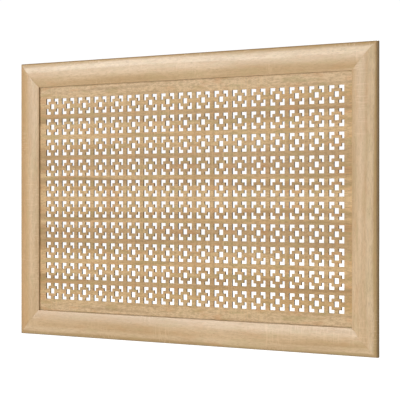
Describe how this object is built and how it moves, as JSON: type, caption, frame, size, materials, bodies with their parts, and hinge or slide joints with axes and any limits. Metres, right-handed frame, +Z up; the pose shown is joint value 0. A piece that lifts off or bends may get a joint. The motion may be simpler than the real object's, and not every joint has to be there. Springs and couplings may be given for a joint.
{
  "type": "radiator screen",
  "caption": "Flat wood-effect radiator screen: a mitred moulding frame round a perforated panel, hung on a radiator by steel hooks.",
  "frame": {"origin": "middle of the frame's bottom edge, in the middle plane of the perforated panel", "axes": "+X to the right seen from the front, +Y back towards the radiator, +Z up"},
  "size_m": [0.9, 0.1085, 0.6],
  "materials": {
    "frame_decor": "pale oak decor foil on fibreboard, satin",
    "panel_decor": "pale oak decor foil on thin hardboard, satin",
    "beech": "plain turned beech",
    "zinc_steel": "bright zinc-plated steel"
  },
  "bodies": {
    "root": {"top_rail": "frame_decor", "bottom_rail": "frame_decor", "left_stile": "frame_decor", "right_stile": "frame_decor", "perforated_panel": "panel_decor", "bottom_left_dowel": "beech", "bottom_left_outer_nail": "zinc_steel", "bottom_left_inner_nail": "zinc_steel", "bottom_right_dowel": "beech", "bottom_right_outer_nail": "zinc_steel", "bottom_right_inner_nail": "zinc_steel", "top_left_dowel": "beech", "top_left_outer_nail": "zinc_steel", "top_left_inner_nail": "zinc_steel", "top_right_dowel": "beech", "top_right_outer_nail": "zinc_steel", "top_right_inner_nail": "zinc_steel", "left_hook": "zinc_steel", "left_hook_upper_screw": "zinc_steel", "left_hook_lower_screw": "zinc_steel", "right_hook": "zinc_steel", "right_hook_upper_screw": "zinc_steel", "right_hook_lower_screw": "zinc_steel"}
  },
  "joints": []
}
